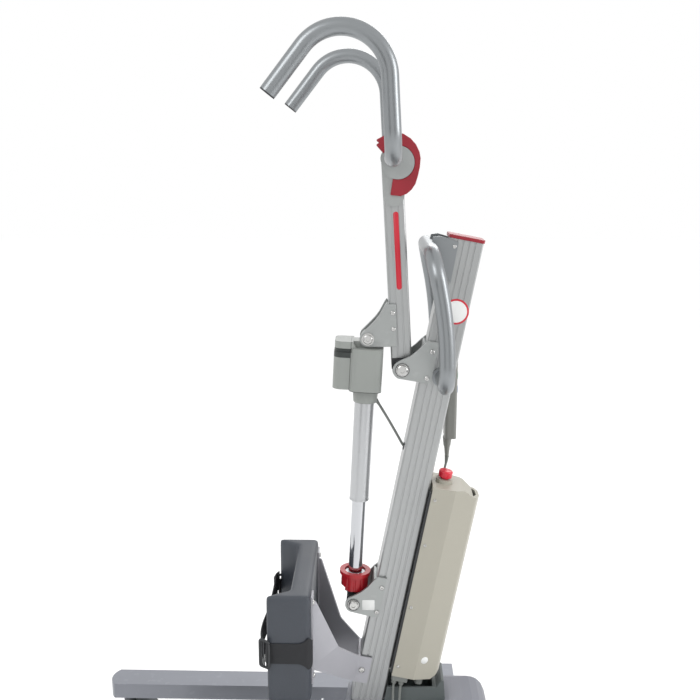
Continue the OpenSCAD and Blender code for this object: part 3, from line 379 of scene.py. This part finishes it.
ALONG = (1, 1, 60)
finishes = {
    "frame_paint": Finish("frame_paint", (0.24, 0.25, 0.28), 0.42, 0.2, grain=1500, bump=0.2, wear=0.12),
    "dome_plastic": Finish("dome_plastic", (0.16, 0.165, 0.19), 0.5, grain=1600, bump=0.3),
    "cover_plastic": Finish("cover_plastic", (0.085, 0.10, 0.10), 0.5, grain=1600, bump=0.3),
    "anodised": Finish("anodised", (0.40, 0.41, 0.41), 0.36, 0.8, mottle=0.03, grain=700, bump=0.15,
                       lean=MAST_LEAN, stretch=ALONG),
    "plate_alu": Finish("plate_alu", (0.37, 0.385, 0.38), 0.42, 0.75, grain=1800, bump=0.25, wear=0.08),
    "cap_red": Finish("cap_red", (0.27, 0.007, 0.018), 0.42, grain=1200, bump=0.08, coat=0.05),
    "tube_satin": Finish("tube_satin", (0.27, 0.285, 0.295), 0.34, 0.85, mottle=0.02, cloud=6,
                         bump=0.02, spread=0.02),
    "bolt_steel": Finish("bolt_steel", (0.55, 0.55, 0.54), 0.2, 1.0, grain=1400, bump=0.1),
    "seam_black": Finish("seam_black", (0.025, 0.027, 0.03), 0.5, grain=1500, bump=0.2),
    "box_beige": Finish("box_beige", (0.37, 0.355, 0.30), 0.42, mottle=0.025, grain=1800, bump=0.35),
    "battery": Finish("battery", (0.06, 0.08, 0.16), 0.4),
    "lead_grey": Finish("lead_grey", (0.17, 0.18, 0.17), 0.5, grain=1200, bump=0.15),
    "knee_plate": Finish("knee_plate", (0.40, 0.40, 0.43), 0.38, 0.15, grain=1500, bump=0.2, wear=0.08),
    "pad_foam": Finish("pad_foam", (0.046, 0.053, 0.066), 0.46, mottle=0.12, grain=1300, bump=0.35),
    "webbing": Finish("webbing", (0.018, 0.019, 0.022), 0.72, mottle=0.2),
    "tread_plate": Finish("tread_plate", (0.50, 0.52, 0.52), 0.36, 0.85, grain=700, bump=0.2,
                          stretch=(60, 1, 1), wear=0.1),
    "mat_rubber": Finish("mat_rubber", (0.03, 0.032, 0.035), 0.75, grain=1200, bump=0.3),
    "rod_chrome": Finish("rod_chrome", (0.55, 0.56, 0.58), 0.1, 1.0, mottle=0.02, bump=0.02, spread=0.03),
    "collar_red": Finish("collar_red", (0.36, 0.008, 0.015), 0.32, grain=1200, bump=0.12),
    "case_grey": Finish("case_grey", (0.27, 0.285, 0.27), 0.42, mottle=0.04, grain=1800, bump=0.35),
    "motor_steel": Finish("motor_steel", (0.45, 0.44, 0.40), 0.3, 1.0),
    "tube_alu": Finish("tube_alu", (0.50, 0.51, 0.52), 0.32, 0.85, mottle=0.02, grain=700, bump=0.08,
                       lean=RAM_LEAN, stretch=ALONG),
    "stop_red": Finish("stop_red", (0.62, 0.008, 0.03), 0.28, coat=0.3, bump=0.05),
    "handset_grey": Finish("handset_grey", (0.20, 0.205, 0.19), 0.45, grain=1700, bump=0.3),
    "button_green": Finish("button_green", (0.06, 0.20, 0.12), 0.5),
    "button_blue": Finish("button_blue", (0.06, 0.12, 0.26), 0.5),
    "yoke_steel": Finish("yoke_steel", (0.38, 0.39, 0.41), 0.32, 0.9, wear=0.1),
    "pedal_black": Finish("pedal_black", (0.03, 0.03, 0.03), 0.6, grain=1200, bump=0.3),
    "castor_grey": Finish("castor_grey", (0.085, 0.09, 0.10), 0.45, grain=1500, bump=0.25),
    "wheel_grey": Finish("wheel_grey", (0.19, 0.195, 0.20), 0.55, grain=1200, bump=0.2),
    "brake_red": Finish("brake_red", (0.30, 0.03, 0.04), 0.4, grain=1300, bump=0.2),
}

# Skin of the pad, weave of the webbing, and the parting lines of the motor housing
pad_skin = finishes["pad_foam"]
pad_skin.relief(pad_skin.cells(420), 0.25, 0.0004)
weave = finishes["webbing"]
weave.relief(weave.math("MAXIMUM", weave.wave(320, "Z"), weave.wave(260, "DIAGONAL")), 0.6, 0.0006)
case = finishes["case_grey"]
case_x, _, case_z = case.local(RAM_PIVOT, RAM_LEAN)
in_motor = case.math("LESS_THAN", case_x, -0.0298)
case.tint(case.math("MULTIPLY", case.near(case_z, 0.4955, 0.0085), in_motor), (0.03, 0.036, 0.034))
case.tint(case.near(case_x, -0.0298, 0.0005), (0.07, 0.075, 0.07))
case.tint(case.near(case_z, 0.4245, 0.0006), (0.06, 0.065, 0.06))

for node, piece in frame["nodes"].items():
    for holder in piece.material_slots:
        holder.material = finishes[slot_of[node]].mat

EASED = {
    "box_cover": 0.0012, "box_cap": 0.0012, "motor_case": 0.0016, "case_cap": 0.0014,
    "boom_bracket": 0.0006, "ram_bracket": 0.0006, "lift_bracket": 0.0006, "head_plates": 0.0006,
    "lock_lever": 0.0010, "mast_cap": 0.0012, "knee_bracket": 0.0006, "base_cover": 0.0010,
    "boom_foot": 0.0008, "handset_case": 0.0012, "base_frame": 0.0012, "leg_left": 0.0012,
    "leg_right": 0.0012, "footplate": 0.0006, "spread_pedal": 0.0008, "spread_yoke": 0.0006,
    "brake_left": 0.0008, "brake_right": 0.0008, "mast_profile": 0.0004, "boom_profile": 0.0004,
}
for node, width in EASED.items():
    edge_ease(frame["nodes"][node], width)


def dress(piece, slot, body):
    """Gives a new piece its finish and the body that it rides on."""
    piece.data.materials.clear()
    piece.data.materials.append(finishes[slot].mat)
    if body:
        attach(piece, body)
    return piece


# ---- Cords ------------------------------------------------------------------------

CORD_D = 0.005
CABLE_ROUTE = [
    (0.165, 0, 0.868), (0.170, 0, 0.861), (0.179, 0, 0.847), (0.191, 0, 0.827),
    (0.203, 0, 0.806), (0.213, 0, 0.788), (0.219, 0, 0.777), (0.224, 0, 0.770)]
CORD_ROUTE = [
    (0.312, 0.088, 0.723), (0.311, 0.088, 0.711), (0.308, 0.087, 0.696), (0.304, 0.085, 0.678),
    (0.301, 0.081, 0.656), (0.300, 0.076, 0.630), (0.298, 0.071, 0.600), (0.294, 0.068, 0.565),
    (0.287, 0.066, 0.525), (0.279, 0.065, 0.485), (0.271, 0.065, 0.445), (0.263, 0.065, 0.405),
    (0.255, 0.064, 0.365), (0.248, 0.063, 0.325), (0.243, 0.061, 0.290), (0.240, 0.058, 0.264),
    (0.2375, 0.054, 0.248), (0.232, 0.049, 0.2385), (0.225, 0.0445, 0.237), (0.219, 0.0415, 0.242),
    (0.2154, 0.039, 0.252), (0.2138, 0.0376, 0.264), (0.2138, 0.037, 0.276), (0.2149, 0.037, 0.287),
    (0.2164, 0.037, 0.295)]


def add_cord(name, points, bodies, relief):
    """A free cord that goes back into the object, with a tapered strain relief where it leaves."""
    route = smooth_route([Vector(p) for p in points])
    piece = swept(name, route, lambda share: circle(CORD_D / 2), (0, 1, 0))
    dress(piece, "lead_grey", None)
    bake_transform(piece)
    sleeve_route = route[:relief]
    ribs = relief / 3

    def sleeve(share):
        ridge = 0.0003 * math.cos(2 * math.pi * ribs * share)
        return circle(CORD_D / 2 + 0.0003 + 0.0016 * (1 - share) + ridge * (1 - share))

    dress(swept(name + "_relief", sleeve_route, sleeve, (0, 1, 0)), "lead_grey", bodies[0])
    return piece


ram_cable = add_cord("ram_cable_soft", CABLE_ROUTE, ("ram", "rod"),
                     7)
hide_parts("ram_cable")
set_cord = add_cord("handset_cord_soft", CORD_ROUTE, ("handset", "root"),
                    6)
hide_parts("handset_cord")

# ---- Knee pad ------------------------------------------------------------------------


def soften(node, name, cell, passes):
    """A moulded soft copy of a CAD solid, with its edges rounded over."""
    source = frame["nodes"][node]
    piece = link_mesh(name, source.data.copy())
    shell = piece.modifiers.new("remesh", "REMESH")
    shell.mode = "VOXEL"
    shell.voxel_size = cell
    rounds = piece.modifiers.new("rounds", "SMOOTH")
    rounds.factor = 0.5
    rounds.iterations = passes
    made = bpy.data.meshes.new_from_object(piece.evaluated_get(bpy.context.evaluated_depsgraph_get()))
    piece.modifiers.clear()
    piece.data = made
    made.shade_smooth()
    return piece


def crown(piece, node, rise):
    """Pushes the flat faces of the pad out a little, most at their middle, as foam under a skin."""
    low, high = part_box(node)
    middle, half = (low + high) / 2, (high - low) / 2
    for v in piece.data.vertices:
        share = [1 - abs(v.co[i] - middle[i]) / half[i] for i in range(3)]
        bulge = rise * max(0, min(1, 4 * share[2])) * max(0, min(1, 6 * share[0]))
        v.co += v.normal * bulge


pad = soften("knee_pad", "knee_pad_soft", 0.0035, 14)
crown(pad, "knee_pad", 0.0012)
dress(pad, "pad_foam", "knee_support")
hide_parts("knee_pad")

# ---- Straps and buckles -----------------------------------------------------------------

pad_low, pad_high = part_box("knee_pad")
STRAP_W = 0.040
STRAP_T = 0.0022
STRAP_Z = 0.412
RIB_H = 0.0011
RIBS = 5


def strap_section(flare):
    """Outline of ribbed webbing at a share of its way, which widens by flare(share)."""

    def section(share):
        width = STRAP_W * flare(share)
        steps = 8 * RIBS
        outer, inner = [], []
        for i in range(steps + 1):
            v = width * (i / steps - 0.5)
            ridge = RIB_H * abs(math.sin(math.pi * RIBS * i / steps))
            outer.append((STRAP_T / 2 + ridge, v))
            inner.append((-STRAP_T / 2, v))
        return [*outer, *reversed(inner)]

    return section


def side_strap(name, side):
    """Webbing round one wing, from the buckle to the back of the pad."""
    out = pad_high.y + 0.0022
    front, rear = pad_low.x - 0.002, pad_high.x + 0.0024
    points = [(front, out - 0.006), (front + 0.006, out - 0.0005), (front + 0.03, out),
              (rear - 0.02, out + 0.0003), (rear - 0.006, out), (rear - 0.0005, out - 0.0055),
              (rear, out - 0.015)]
    route = smooth_route([Vector((x, side * y, STRAP_Z)) for x, y in points], 0.002)

    def flare(share):
        return 1 + 0.55 * math.exp(-((share - 0.82) / 0.1) ** 2)

    return dress(swept(name, route, strap_section(flare), (0, 0, 1)), "webbing", "knee_support")


def front_strap():
    """The shin strap from wing to wing, a little slack near the left one."""
    front = pad_low.x - 0.0035
    y = pad_high.y - 0.004
    points = [(front + 0.0005, -y, 0.414), (front - 0.007, -y + 0.016, 0.420),
              (front - 0.008, -y + 0.05, 0.424), (front - 0.003, -y + 0.11, 0.427),
              (front - 0.002, y - 0.06, 0.430), (front - 0.004, y - 0.02, 0.432),
              (front + 0.0005, y, 0.430)]
    route = smooth_route([Vector(p) for p in points], 0.003)
    return dress(swept("shin_strap", route, strap_section(lambda share: 1), (0, 0, 1)),
                 "webbing", "knee_support")


def buckle(name, side):
    """A ladder buckle: a rounded frame with a middle bar and two lips."""
    tall, wide, bar, deep, corner = 0.058, 0.026, 0.0052, 0.0045, 0.004
    lip_r, lip_lift = 0.0017, 0.0012
    half_t, half_w = tall / 2 - bar / 2, wide / 2 - bar / 2
    ring = []
    x, y = half_w - corner, half_t - corner
    for cx, cy, start in ((x, y, 0), (-x, y, 90), (-x, -y, 180), (x, -y, 270)):
        for i in range(5):
            a = math.radians(start + 22.5 * i)
            ring.append(Vector((cx + corner * math.cos(a), cy + corner * math.sin(a), 0)))
    ring.append(ring[0].copy())
    oval = [(u * bar / 2, v * deep / 2) for u, v in circle(1, 12)]
    parts = [swept(name, ring, lambda share: oval, (0, 0, 1))]
    for i, (x, lift) in enumerate(((0, lip_lift), (-half_w * 0.55, 0), (half_w * 0.55, 0))):
        line = [Vector((x, -half_t, lift)), Vector((x, 0, lift + 0.0006)), Vector((x, half_t, lift))]
        parts.append(swept(f"{name}_{i}", smooth_route(line, 0.006),
                           lambda share: circle(lip_r, 10), (0, 0, 1)))
    whole = bmesh.new()
    for p in parts:
        whole.from_mesh(p.data)
    for p in parts[1:]:
        bpy.data.objects.remove(p)
    whole.to_mesh(parts[0].data)
    whole.free()
    parts[0].data.shade_smooth()
    place = Vector((pad_low.x - 0.003, side * (pad_high.y + 0.0035), STRAP_Z))
    set_on(parts[0], place, (-0.62, side * 1.0, 0))
    return dress(parts[0], "seam_black", "knee_support")


straps = [side_strap("strap_left", -1), side_strap("strap_right", 1), front_strap()]
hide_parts("knee_straps")
buckles = [buckle("buckle_left", -1), buckle("buckle_right", 1)]

# ---- Plain labels and small trim -------------------------------------------------------

finishes["label_white"] = Finish("label_white", (0.72, 0.73, 0.72), 0.35, mottle=0.03, bump=0.04)
finishes["label_red"] = Finish("label_red", (0.52, 0.012, 0.03), 0.35, mottle=0.04, bump=0.04)
LABEL_T = 0.0004


def label(name, size, corner, place, out, colour, body, up=(0, 0, 1)):
    plate = round_plate(name, size, corner, LABEL_T, 10)
    set_on(plate, place, out, up)
    plate.data.materials.append(finishes[colour].mat)
    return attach(plate, body)


mast_up = ON_MAST.to_3x3() @ Vector((0, 0, 1))
boom_up = ON_BOOM.to_3x3() @ Vector((0, 0, 1))
side_out = Vector((0, -1, 0))
mast_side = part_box("mast_profile")[0].y
disc_at = ON_MAST @ Vector((0.0078, mast_side, 0.923))
label("mast_label_rim", (0.047, 0.047), 0.02349, disc_at, side_out, "label_red", "root", mast_up)
label("mast_label", (0.040, 0.040), 0.01999, disc_at + side_out * LABEL_T, side_out, "label_white",
      "root", mast_up)
boom_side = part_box("boom_profile")[0].y
label("boom_stripe", (0.0095, 0.140), 0.0045, ON_BOOM @ Vector((0.002, boom_side, 0.2165)), side_out,
      "label_red", "boom", boom_up)
ram_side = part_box("ram_bracket")[0].y
label("ram_label", (0.024, 0.021), 0.002, Vector((0.1568, ram_side, 0.4605)), side_out, "label_white",
      "root")
facet_out = ON_MAST.to_3x3() @ Vector((0.379, -0.926, 0))
label("box_label", (0.0150, 0.0150), 0.00749, ON_MAST @ Vector((0.092, -0.0392, 0.238)), facet_out,
      "label_white", "root", mast_up)

# Rubber rims that show round the domed bolts, and the grommet where the ram's cable goes in


def ring(name, radius, wire, place, out, steps=40, sides=10):
    """A rubber ring of round wire, lying on a face of the mast or its brackets."""
    points = []
    for i in range(steps):
        a = 2 * math.pi * i / steps
        spoke = Vector((math.cos(a), math.sin(a), 0))
        points += [spoke * (radius + wire * u) + Vector((0, 0, wire * v)) for u, v in circle(1, sides)]
    faces = [(i * sides + k, i * sides + (k + 1) % sides,
              (i + 1) % steps * sides + (k + 1) % sides, (i + 1) % steps * sides + k)
             for i in range(steps) for k in range(sides)]
    piece = mesh_of(name, points, faces)
    set_on(piece, place, out)
    return dress(piece, "seam_black", "root")


RIM_WIRE = 0.0012
for name, bracket, at, radius in (("boom_bolt_rim", "boom_bracket", BOOM_PIVOT, 0.0122),
                                  ("ram_bolt_rim", "ram_bracket", RAM_PIVOT, 0.0112)):
    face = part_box(bracket)[1].y + RIM_WIRE / 2
    for tag, side in (("left", -1), ("right", 1)):
        ring(f"{name}_{tag}", radius, RIM_WIRE, Vector((at.x, side * face, at.z)), (0, side, 0))
MAST_FRONT = -0.0312
CABLE_HOLE_UP = 0.647
ring("cable_grommet", 0.0062, 0.0011, ON_MAST @ Vector((MAST_FRONT, 0, CABLE_HOLE_UP)),
     ON_MAST.to_3x3() @ Vector((-1, 0, 0)))
